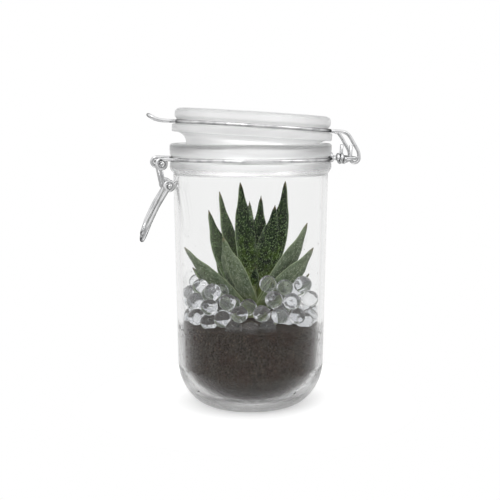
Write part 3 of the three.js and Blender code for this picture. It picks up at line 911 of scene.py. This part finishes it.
def stray_crumb(draw):
    """A small, flat, irregular grain against the inside of the wall."""
    height = SOIL_TOP + 2 + 34 * draw.random() ** 2.2 + (60 * draw.random() if draw.random() < 0.16 else 0)
    size = draw.uniform(0.15, 0.42)
    radius = inner_radius(height) - CLEAR - size * 0.5
    angle = draw.uniform(0, 2 * math.pi)
    centre = Vector((radius * math.cos(angle), radius * math.sin(angle), height))
    vertices, faces = turned([(0, -0.5), (0.9, -0.2), (1, 0.1), (0, 0.5)], 7)
    turn = Matrix.Rotation(angle, 3, "Z") @ Matrix.Rotation(math.pi / 2, 3, "Y")
    shaped = [turn @ Vector((x * draw.uniform(0.6, 1.3), y * draw.uniform(0.6, 1.3), z)) * size + centre
              for x, y, z in vertices]
    return shaped, faces


def make_stray_crumbs():
    draw = random.Random(23)
    vertices, faces = merged([stray_crumb(draw) for _ in range(STRAY_CRUMBS)])
    dress(new_piece("stray_crumbs", vertices, faces, soil), "jar", "soil")


make_stray_crumbs()

# %% [markdown]
# ## The leaves
#
# The succulent is a rosette of thick, pointed leaves. Each one is hollowed on its inner face and keeled on
# its outer one, with finely toothed margins that curve in to a drawn-out tip. Leaves could be sculpted one by
# one, but a plant grows them all by one rule. So one formula makes every leaf, and what differs is a short
# list: where it points, how far it reaches, its heights, width, bow and roll.

# %% Leaf shape
LEAVES = [  # turn, reach, tip height, base height, width, bow, roll
    (49, 4, 90, 75.5, 6, 0.5, 0),
    (116, 14, 147, 71, 16.5, 2, 0),
    (33, 21, 131, 70, 17, 4, 25),
    (18, 25, 148, 67.5, 17.5, 6.5, 15),
    (64, 22, 137, 67.5, 13, 3.5, 0),
    (134, 27.5, 140, 67, 15.5, 4, 0),
    (216, 27.5, 113, 64.5, 21, 4, 0),
    (84, 25, 133, 65.5, 13, 4, 0),
    (144, 33, 127.5, 65, 17, 5, -20),
    (-19, 35.7, 120.5, 64.5, 18.5, 4.5, -35),
    (100, 34, 113, 63.5, 14, 5, 0),
    (-29, 40.5, 105, 62.5, 19, 4, -35),
    (182, 45, 105, 62.5, 18, 4, 30),
    (62, 37, 106, 62.5, 13, 5, 0),
    (124, 38, 100, 61.5, 13, 5, 0),
    (161, 41, 89.5, 60.5, 14, 4, -20),
    (4, 40, 84.5, 60, 12, 3.5, -20),
]
STEM_X = 1.5
STEM_RADIUS = 4.0
STEM_BOTTOM = 41.0
STEM_NECK = 64.0
STEM_TOP = 78.0
LEAF_STATIONS = 96
LEAF_SIDES = 24  # a multiple of four, so that points lie on both margins
LEAF_THICKNESS = 3.0
LEAF_EDGE = 0.45
LEAF_HOLLOW = 0.2
TOOTH = 0.32
TIP_HALF_WIDTH = 0.16
DRAWN_TIP_START = 0.7  # from here the sides curve inwards to a drawn-out tip
DRAWN_TIP = 0.24
TEETH_END = 0.95


class Leaf:
    """One leaf of the list, and where the points of its skin are."""

    def __init__(self, row):
        turn, self.reach, self.tip, self.base, self.width, self.bow, roll = row
        self.turn = math.radians(turn)
        self.roll = math.radians(roll)

    def half_width(self, share):
        if share < 0.5:
            outline = 0.72 + 0.28 * math.sin(math.pi * share)
        else:
            outline = 1 - ((share - 0.5) / 0.5) ** 1.7
        if share > DRAWN_TIP_START:
            towards_tip = (share - DRAWN_TIP_START) / (1 - DRAWN_TIP_START)
            outline *= 1 - DRAWN_TIP * math.sin(math.pi * towards_tip) ** 2
        return max(self.width / 2 * outline, TIP_HALF_WIDTH)

    def middle(self, share):
        """The middle line and its direction, as distance out from the stem and height."""
        length = math.hypot(self.reach, self.tip - self.base)
        out = (self.tip - self.base) / length
        down = self.reach / length
        start = Vector((2, self.base))
        end = Vector((self.reach, self.tip))
        bend = Vector((self.reach / 2 + self.bow * 2 * out, (self.base + self.tip) / 2 - self.bow * 2 * down))
        rest = 1 - share
        point = start * rest ** 2 + bend * 2 * rest * share + end * share ** 2
        tangent = (bend - start) * rest + (end - bend) * share
        return point, tangent.normalized()

    def skin(self, share, angle, tooth=0.0, raised=0.0):
        """A point of the skin. The angle is 0 on the inner face and a half turn on the keel."""
        across = math.sin(angle)
        upper = math.cos(angle)
        half = self.half_width(share)
        point, tangent = self.middle(share)
        fullness = min(half / (self.width / 2), 1)
        depth = LEAF_THICKNESS / 2 * (0.35 + 0.65 * fullness) * (0.55 if upper > 0 else 1)
        rim = math.copysign(LEAF_EDGE * min(1, abs(upper) / 0.4) * min(1, half / 1.5), upper)
        lift = LEAF_HOLLOW * half * across ** 2 + upper * depth * (1 - 0.3 * abs(across)) + rim
        lift += math.copysign(raised, upper)
        side = -across * (half + tooth)
        roll = self.roll * min(share / 0.35, 1)
        rolled_side = side * math.cos(roll) - lift * math.sin(roll)
        rolled_lift = side * math.sin(roll) + lift * math.cos(roll)
        radius = point.x - tangent.y * rolled_lift
        height = point.y + tangent.x * rolled_lift
        return Vector((
            STEM_X + radius * math.cos(self.turn) - rolled_side * math.sin(self.turn),
            radius * math.sin(self.turn) + rolled_side * math.cos(self.turn),
            height,
        ))


def blade(leaf):
    """The leaf's skin as points and faces, with each point's place along, across and on which face."""
    vertices = []
    places = []
    for station in range(LEAF_STATIONS + 1):
        share = station / LEAF_STATIONS
        toothed = 0.06 < share < TEETH_END and station % 2
        for step in range(LEAF_SIDES):
            angle = 2 * math.pi * step / LEAF_SIDES
            at_margin = step in (LEAF_SIDES // 4, 3 * LEAF_SIDES // 4)
            tooth = TOOTH if toothed and at_margin else 0.0
            vertices.append(leaf.skin(share, angle, tooth))
            places.append((share, math.sin(angle), math.cos(angle), 0.0))
    starts = range(0, len(vertices), LEAF_SIDES)
    faces = [(a, d, c, b) for a, b, c, d in between_rings(starts, LEAF_SIDES)]
    faces.append(tuple(range(LEAF_SIDES)))
    faces.append(tuple(reversed(range(starts[-1], len(vertices)))))
    return vertices, faces, places


print("leaves in the rosette:", len(LEAVES))

# %% [markdown]
# ## The tubercles
#
# Pale tubercles dot both faces. They are small domes of firm skin, a little larger on the inner faces. A bump
# in the finish could draw them, but seen from the side they stand out of the outline. So each one is a low
# dome in the leaf's own mesh, scattered by a draw that starts from the leaf's number.

# %% Tubercles
TUBERCLE_FACES = [  # whether on the inner face, how many to the square millimetre, radius
    (True, 0.42, 0.36),
    (False, 0.5, 0.3),
]
LEAF_FILL = 0.75  # a leaf's area as a share of its length times its width


def tubercle(leaf, share, angle, radius):
    """A low six-sided dome on the skin, sunk a little way in."""
    step = 0.01
    centre = leaf.skin(share, angle)
    along = (leaf.skin(share + step, angle) - leaf.skin(share - step, angle)).normalized()
    across = leaf.skin(share, angle + step) - leaf.skin(share, angle - step)
    across = (across - along * across.dot(along)).normalized()
    up = across.cross(along)
    if up.dot(leaf.skin(share, angle, raised=0.5) - centre) < 0:
        up = -up
        across = -across
    vertices = []
    for wide, high in ((1.0, -0.25), (0.72, 0.35)):
        for corner in range(6):
            turn = math.pi / 3 * corner
            flat = (along * math.cos(turn) + across * math.sin(turn)) * radius * wide
            vertices.append(centre + flat + up * radius * high)
    vertices.append(centre + up * radius * 0.55)
    faces = [tuple(range(6))]
    for corner in range(6):
        after = (corner + 1) % 6
        faces.append((corner, corner + 6, after + 6, after))
        faces.append((corner + 6, 12, after + 6))
    return vertices, faces


def tubercles(leaf, draw):
    """Domes scattered over both faces of a leaf, fewer where it narrows."""
    parts = []
    length = math.hypot(leaf.reach, leaf.tip - leaf.base)
    for inner, density, radius in TUBERCLE_FACES:
        for _ in range(int(length * leaf.width * LEAF_FILL * density)):
            share = draw.uniform(0.14, 0.93)
            across = draw.uniform(-0.93, 0.93)
            keep = draw.random()
            if keep > leaf.half_width(share) / (leaf.width / 2):
                continue
            angle = math.asin(across) if inner else math.pi - math.asin(across)
            size = radius * draw.uniform(0.7, 1.25)
            parts.append((*tubercle(leaf, share, angle, size), share, across, inner))
    return parts


print("tubercles to the square millimetre:", [row[1] for row in TUBERCLE_FACES])

# %% [markdown]
# ## The leaf finish
#
# Inner faces are deep green with a yellower glow low down. Outer faces are greyer, with pale streaks and a
# paler band towards the margins, partly the leaf's bloom and partly painted light from the sides. The base is
# yellow-green, the margins and keel are pale, and the tip is brown. The heart leaves are painted darker and
# the outer ones paler, partly for age and partly as painted shade and painted light. A painted image could
# hold all that, but it would need unwrapping. Instead the mesh tells the finish where it is on the leaf, and
# masks made from that lay one colour over another.

# %% Leaf finish
INNER_DARK = linear(6, 21, 1)
INNER_LIGHT = linear(22, 46, 6)
OUTER_DARK = linear(84, 98, 73)
OUTER_LIGHT = linear(118, 129, 104)
STREAK = linear(124, 138, 100)
GLOW = linear(82, 104, 16)
# pale band at both margins: partly the leaf's bloom, partly painted light from the sides
BLOOM_AND_SIDE_LIGHT = linear(140, 156, 132)
YOUNG = linear(132, 146, 74)
SPECKLE = linear(190, 202, 170)
MARGIN = linear(176, 188, 150)
DRY_TIP = linear(120, 96, 72)
DOME_OUTER = linear(196, 206, 182)
DOME_INNER = linear(146, 174, 116)
PLACE_NAMES = ("along", "across", "face", "dot", "age_and_light")


def leaf_look(shade):
    along, across, face, dot, age_and_light = [shade.attribute(name) for name in PLACE_NAMES]
    mottle = shade.noise(260, 4.0, 0.6)
    streaks = shade.noise(1.0, 3.0, 0.6, shade.stretched((700, 700, 60)))
    mottled = shade.step(mottle, 0.35, 0.7)
    inner = shade.mix(mottled, INNER_DARK, INNER_LIGHT)
    outer = shade.mix(mottled, OUTER_DARK, OUTER_LIGHT)
    glow = shade.step(mottle, 0.4, 0.62) * shade.step(along, 0.1, 0.3) * shade.below(along, 0.42, 0.62)
    # Paler towards both margins: partly bloom, partly painted light from the sides.
    bloom_and_side_light = shade.step(abs(across), 0.55, 1.0) * shade.step(streaks, 0.35, 0.7)
    keel = shade.below(abs(across - 0.12), 0.02, 0.05) * shade.below(face, -0.3, -0.2)
    margin = shade.step(abs(across), 0.975, 0.995)
    # Painted shade and light as well as age: the heart leaves keep dark inner faces, the outer ones turn pale.
    skin = shade.layered(
        shade.mix(shade.step(face, -0.25, 0.1) * (1 - 0.7 * age_and_light), outer, inner),
        (0.35 * shade.step(streaks, 0.45, 0.75) * shade.below(face, -0.1, 0.1), STREAK),
        (0.4 * glow * shade.step(face, 0.0, 0.4), GLOW),
        (0.42 * bloom_and_side_light, BLOOM_AND_SIDE_LIGHT),
        (0.6 * shade.below(along, 0.06, 0.34), YOUNG),
        (0.3 * shade.below(shade.cells(1500), 0.18, 0.3), SPECKLE),
        (shade.clamped(0.8 * margin + 0.45 * keel), MARGIN),
        (0.5 * shade.step(along, 0.93, 0.99), DRY_TIP),
        (dot * (0.75 - 0.15 * age_and_light), shade.mix(shade.step(face, -0.1, 0.1), DOME_OUTER, DOME_INNER)),
    )
    return {
        "Base Color": skin,
        "Roughness": 0.46 + 0.2 * mottle,
        "Normal": shade.bump(mottle + 0.5 * streaks, 0.35, 0.0004),
    }


leaf_skin = new_finish("leaf_skin", leaf_look, {"Specular IOR Level": 0.1})

# %% [markdown]
# ## The rosette
#
# The list runs from the young leaves in the heart to the old ones outside, whose inner faces are painted
# paler:
# partly with age, and partly as painted light, as the heart lies in shade.
# Each leaf could be a copy of one mesh, but no two are alike in the photograph, so each is made from its row.

# %% Make the leaves
YOUNG_SHADED_LEAVES = 5  # the first ones of the list, deep green on their inner faces: partly youth, partly painted shade in the heart
AGEING_AND_LIGHT = 3  # over so many leaves the inner faces turn pale: partly age, partly painted light on the outer leaves


def make_leaf(number, row):
    leaf = Leaf(row)
    draw = random.Random(100 + number)
    vertices, faces, places = blade(leaf)
    parts = [(vertices, faces)]
    for dome_vertices, dome_faces, share, across, inner in tubercles(leaf, draw):
        parts.append((dome_vertices, dome_faces))
        places += [(share, across, 1.0 if inner else -1.0, 1.0)] * len(dome_vertices)
    vertices, faces = merged(parts)
    # Age and painted light: 0 in the heart, kept dark as painted shade, rising to 1 on the lit outer leaves.
    age_and_light = min(1.0, (number - YOUNG_SHADED_LEAVES + 1) / AGEING_AND_LIGHT) if number > YOUNG_SHADED_LEAVES else 0.0
    places = [(*place, age_and_light) for place in places]
    node = "leaf_%02d" % number
    piece = new_piece(node + "_blade", vertices, faces, leaf_skin, crease=75)
    for name, values in zip(PLACE_NAMES, zip(*places)):
        carry(piece, name, values)
    return dress(piece, "jar", "leaf", node)


leaves = [make_leaf(index + 1, row) for index, row in enumerate(LEAVES)]

# %% [markdown]
# ## The stem
#
# The stem is short and nearly hidden. It is pale, with the scars of older leaves round it as low ridges. A
# bump could draw the scars, but a turned profile gives them for nothing.

# %% Stem
STEM_STEPS = 60
SCAR_DEPTH = 0.22
SCAR_WAVE = 24  # radians of it along the stem


def stem_look(shade):
    fibre = shade.noise(1.0, 4.0, 0.6, shade.stretched((500, 500, 90)))
    colour = shade.mix(shade.step(fibre, 0.3, 0.7), linear(112, 122, 84), linear(160, 166, 124))
    return {"Base Color": colour, "Normal": shade.bump(fibre, 0.6, 0.0005)}


def make_stem():
    profile = [(0, STEM_BOTTOM)]
    for step in range(STEM_STEPS + 1):
        share = step / STEM_STEPS
        height = STEM_BOTTOM + (STEM_TOP - STEM_BOTTOM - 0.5) * share
        narrowing = max(0, (height - STEM_NECK) / (STEM_TOP - STEM_NECK))
        scar = SCAR_DEPTH * abs(math.sin(share * SCAR_WAVE))
        taper = (1 - 0.62 * narrowing ** 1.3) * min(1, 0.7 + share * 6)
        profile.append(((STEM_RADIUS - scar) * taper, height))
    profile.append((0, STEM_TOP))
    vertices, faces = turned(profile, 32)
    vertices = [Vector(vertex) + Vector((STEM_X, 0, 0)) for vertex in vertices]
    return dress(new_piece("rosette_stem_skin", vertices, faces, stem_skin), "jar", "stem", "rosette_stem")


stem_skin = new_finish("stem_skin", stem_look, {"Roughness": 0.6})
stem = make_stem()

# %% [markdown]
# ## The gel beads
#
# Swollen gel beads are clear spheres about eleven millimetres across. They lie where they roll: against the
# glass, on the soil, on each other and against the leaves. A rigid body simulation could drop them in, but it
# would not put them where the photograph shows them. So the front ones are set in place. The rest start in
# rings, and a short relaxing step pushes them off each other and off the plant.

# %% Where the beads lie
FRONT_BEADS = [  # turn from +X towards +Y in degrees, height, how far in from the glass
    (223, 79.4, 0), (238, 73.5, 0), (219, 69.2, 0), (249, 66.2, 0), (233, 62.4, 0), (200, 60.8, 0),
    (179, 74.1, 0), (183, 65.6, 3), (216, 59.0, 1.5), (243, 57.0, 1.5), (259, 56.4, 0), (275, 56.6, 1),
    (269, 66.6, 0), (280, 75.3, 0), (278, 84.3, 7.0), (286, 64.8, 0), (299, 72.9, 0), (305, 62.9, 0),
    (319, 82.0, 2), (339, 70.4, 0), (335, 59.0, 0),
]
BEAD_RINGS = [  # how far in from the glass, height, how many, shift, opening at the front in degrees
    (0.0, 57.4, 22, 0.0, 0), (0.0, 66.8, 22, 0.5, 26), (0.4, 75.4, 20, 0.2, 50), (5.0, 83.0, 10, 0.3, 110),
    (10.0, 58.4, 16, 0.3, 0), (10.2, 68.0, 15, 0.8, 30), (11.0, 77.0, 13, 0.4, 90),
    (20.0, 58.4, 10, 0.5, 0), (20.5, 67.8, 9, 0.1, 40), (29.0, 59.0, 5, 0.2, 0),
]
RELAX_ROUNDS = 120
RELAX_DROP = 0.05  # how far a loose bead sinks in each round
PLANT_PUSH = 0.6  # how much of its way out of the plant it goes in each round
PLANT_PRESS = 0.8  # how far a bead may press into the plant
BEAD_SINK = 1.8  # how far a bead settles into the soil
BEAD_PRESS = 0.97  # soft beads press a little into each other
START_CROWDED = 0.625  # closer than this share of a bead's width, a loose bead isn't laid
END_CROWDED = 0.9  # closer than this share after the relaxing, it is taken out
BED_TOP = 83.5
FRONT_TOP = 69  # above this no loose bead lies before the plant
FRONT_REACH = 44  # degrees to each side of the front


def bead_limit(height):
    return inner_radius(height) - BEAD_RADIUS - CLEAR


def around(turn, height, inset):
    radius = bead_limit(height) - inset
    angle = math.radians(turn)
    return Vector((radius * math.cos(angle), radius * math.sin(angle), height))


def from_front(turn):
    """How many degrees a direction is away from the front of the plant."""
    return abs((turn - BED_FRONT + 540) % 360 - 180)


def before_the_plant(place):
    """Whether a bead would hide the leaves: high up and at the front."""
    turn = math.degrees(math.atan2(place.y, place.x))
    return place.z > FRONT_TOP and from_front(turn) < FRONT_REACH


def crowded(place, others, share):
    return any((place - other).length < 2 * BEAD_RADIUS * share for other in others)


def first_places(draw):
    places = [around(*bead) for bead in FRONT_BEADS]
    fixed = len(places)
    for inset, height, count, shift, opening in BEAD_RINGS:
        for index in range(count):
            turn = (index + shift + draw.uniform(-0.1, 0.1)) / count * 360
            place = around(turn, height + draw.uniform(-0.8, 0.8), inset + draw.uniform(0, 0.8))
            if from_front(turn) >= opening / 2 and not crowded(place, places[:fixed], START_CROWDED):
                places.append(place)
    return places, fixed


def plant_tree():
    """The leaves and stem as one search tree, to measure how far a bead is from the plant."""
    parts = []
    for piece in [*leaves, stem]:
        points = [vertex.co / MM for vertex in piece.data.vertices]
        parts.append((points, [face.vertices for face in piece.data.polygons]))
    return BVHTree.FromPolygons(*merged(parts))


def clear_of_plant(place, tree):
    """How far and which way a bead has to move to clear the plant."""
    nearest, normal, _, distance = tree.find_nearest(place)
    outward = place - nearest
    inside = outward.dot(normal) < 0
    depth = BEAD_RADIUS + distance if inside else BEAD_RADIUS - distance
    if depth <= 0:
        return Vector((0, 0, 0)), 0.0
    direction = normal if inside or distance < 1e-6 else outward.normalized()
    return direction * depth, depth


def held_in(place):
    """The nearest place inside the glass and above the soil."""
    radius = math.hypot(place.x, place.y)
    limit = bead_limit(place.z)
    if radius > limit:
        place.x *= limit / radius
        place.y *= limit / radius
    place.z = max(place.z, soil_height(place.x, place.y) + BEAD_RADIUS - BEAD_SINK)
    return place


def relaxed(places, fixed, tree):
    """Pushes the beads apart and off the plant. The first ones, set by the photograph, stay."""
    for _ in range(RELAX_ROUNDS):
        for index in range(len(places)):
            for other in range(index):
                apart = places[index] - places[other]
                overlap = 2 * BEAD_RADIUS * BEAD_PRESS - apart.length
                if overlap <= 0 or index < fixed:
                    continue
                push = apart.normalized() * overlap * 0.5
                places[index] = places[index] + push
                if other >= fixed:
                    places[other] = places[other] - push
            if index >= fixed:
                push, _ = clear_of_plant(places[index], tree)
                moved = places[index] + push * PLANT_PUSH
                moved.z -= RELAX_DROP
                places[index] = held_in(moved)
    return places


def settled_beads():
    draw = random.Random(41)
    tree = plant_tree()
    places, fixed = first_places(draw)
    places = relaxed(places, fixed, tree)
    kept = places[:fixed]
    for place in places[fixed:]:
        in_the_bed = place.z < BED_TOP and not before_the_plant(place)
        _, depth = clear_of_plant(place, tree)
        if in_the_bed and depth < PLANT_PRESS and not crowded(place, kept, END_CROWDED):
            kept.append(place)
    print("beads at the front:", fixed, "| loose beads kept:", len(kept) - fixed)
    return kept


bead_places = settled_beads()

# %% [markdown]
# ## The gel
#
# The gel is nearly all water, so it bends light as water does. Plain glass would be too hard and too clear. A
# trace of cloud, a slightly soft surface and faint dimples make it gel, and each bead is a little out of
# round, so that no two show the same picture of the room.

# %% Make the beads
GEL_INDEX = 1.334
GEL_COLOUR = (0.9, 0.905, 0.915)
GEL_CLEARNESS = 0.98
BEAD_ROWS = 18


def gel_look(shade):
    dimple = shade.noise(260, 2.0)
    return {"Roughness": 0.03 + 0.04 * dimple, "Normal": shade.bump(dimple, 1.0, 0.00002)}


def bead_mesh(centre, draw):
    """A slightly uneven sphere."""
    squash = draw.uniform(0.985, 1.0)
    size = BEAD_RADIUS * draw.uniform(0.965, 1.0)
    circle = arc(0, 0, size, -90, 90, BEAD_ROWS)
    profile = [(max(0, x), y * squash) for x, y in circle]
    vertices, faces = turned(profile, 2 * BEAD_ROWS)
    tilt = Matrix.Rotation(draw.uniform(0, math.pi), 3, Vector((draw.random(), draw.random(), 0.3)))
    return [tilt @ Vector(vertex) + centre for vertex in vertices], faces


def make_beads():
    draw = random.Random(7)
    vertices, faces = merged([bead_mesh(place, draw) for place in bead_places])
    dress(new_piece("gel_beads", vertices, faces, gel, crease=80), "jar", "water_gel", "water_beads")


gel_sockets = {"Base Color": GEL_COLOUR, "IOR": GEL_INDEX, "Transmission Weight": GEL_CLEARNESS}
gel = let_lamps_through(new_finish("water_gel", gel_look, gel_sockets))
make_beads()

# %% [markdown]
# ## The stage
#
# Glass shows little but its surroundings. A photographer lights it with a bright wall behind, and stands dark
# cards beside it to draw its edges. Real walls and cards would need many samples. Here the world's colour
# changes with direction instead: bright above and behind, a shade darker to the sides, and a darker band low
# in front, which draws the grey lines in the glass and the wire. The camera itself sees plain white.

# %% Floor, room and lamps
FLOOR_RADIUS = 110
FLOOR_STEPS = 96
FLOOR_DROP = 0.2  # below the foot, so that the two don't touch
# painted light: the floor glows, though it is no lamp
FLOOR_GLOW = 0.6
ROOM_LIGHT = 0.92
CEILING_LIGHT = 0.2
CARD_DARKNESS = 0.08
BAND_DARKNESS = 0.38
MOST_BOUNCES = 32  # a ray may cross the wall, the beads and the wall again
LAMPS = [  # name, place and size in metres, power in watts
    ("key_lamp", (-0.45, -0.6, 0.95), 0.55, 2.5),
    ("fill_lamp", (0.7, -0.45, 0.8), 0.5, 1),
]


def grey(level):
    return (level, level, level)


def floor_look(shade):
    cloud = shade.noise(1.5, 2.0)
    away = shade.node("VectorMath", {"operation": "LENGTH"}, {0: shade.place()}, "Value")
    # Painted light: the glow is dimmer near the jar, a painted shade round it, and full at the rim to fade
    # into white.
    edge = shade.step(away, 0.4 * FLOOR_RADIUS * MM, 0.98 * FLOOR_RADIUS * MM)
    return {
        "Base Color": shade.mix(cloud, grey(0.78), grey(0.82)),
        "Emission Color": shade.mix(edge, grey(0.6), grey(1.0)),
    }


def make_floor():
    sockets = {"Roughness": 0.7, "Specular IOR Level": 0.2, "Emission Strength": FLOOR_GLOW}
    pale_floor = new_finish("pale_floor", floor_look, sockets)
    rim = [(x, y, -FLOOR_DROP) for x, y in arc(0, 0, FLOOR_RADIUS, 0, 360, FLOOR_STEPS)[:-1]]
    new_piece("floor", rim, [tuple(range(FLOOR_STEPS))], pale_floor)


def make_room():
    """A light room with dark cards all round the bright wall behind, and a dark band low in front."""
    world = bpy.data.worlds.new("room")
    bpy.context.scene.world = world
    world.use_nodes = True
    shade = Shade(world.node_tree)
    direction = shade.node("TexCoord", {}, {}, "Generated")

    def along(axis):
        return shade.node("VectorMath", {"operation": "DOT_PRODUCT"}, {0: direction, 1: axis}, "Value")

    height = along((0, 0, 1))
    toward = along((-math.sin(CAMERA_TURN) * 0.99, -math.cos(CAMERA_TURN) * 0.99, 0.13))
    cards = shade.below(toward, -0.25, 0.0) * shade.step(toward, -0.93, -0.8)
    low = shade.below(height, -0.03, 0.05) * shade.step(height, -0.9, -0.7)
    low_front = shade.step(toward, -0.5, 0.1) * low
    above = shade.step(height, 0.5, 0.9)
    light = ROOM_LIGHT + CEILING_LIGHT * above - CARD_DARKNESS * cards - BAND_DARKNESS * low_front
    colour = shade.node("CombineColor", {}, {0: light, 1: light, 2: light})
    seen = shade.node("LightPath", {}, {}, "Is Camera Ray")
    background = world.node_tree.nodes["Background"]
    shade.feed(background.inputs["Color"], shade.mix(seen, colour, grey(1.0)))


def make_lamp(name, place, size, power):
    lamp = bpy.data.objects.new(name, bpy.data.lights.new(name, "AREA"))
    lamp.data.size = size
    lamp.data.energy = power
    lamp.location = place
    aim = Vector((0, 0, 0.1)) - Vector(place)
    lamp.rotation_euler = aim.to_track_quat("-Z", "Y").to_euler()
    bpy.context.scene.collection.objects.link(lamp)


make_floor()
make_room()
for lamp in LAMPS:
    make_lamp(*lamp)
bpy.context.scene.view_settings.view_transform = "Standard"
bpy.context.scene.cycles.max_bounces = MOST_BOUNCES
bpy.context.scene.cycles.transmission_bounces = MOST_BOUNCES
print("stage ready")
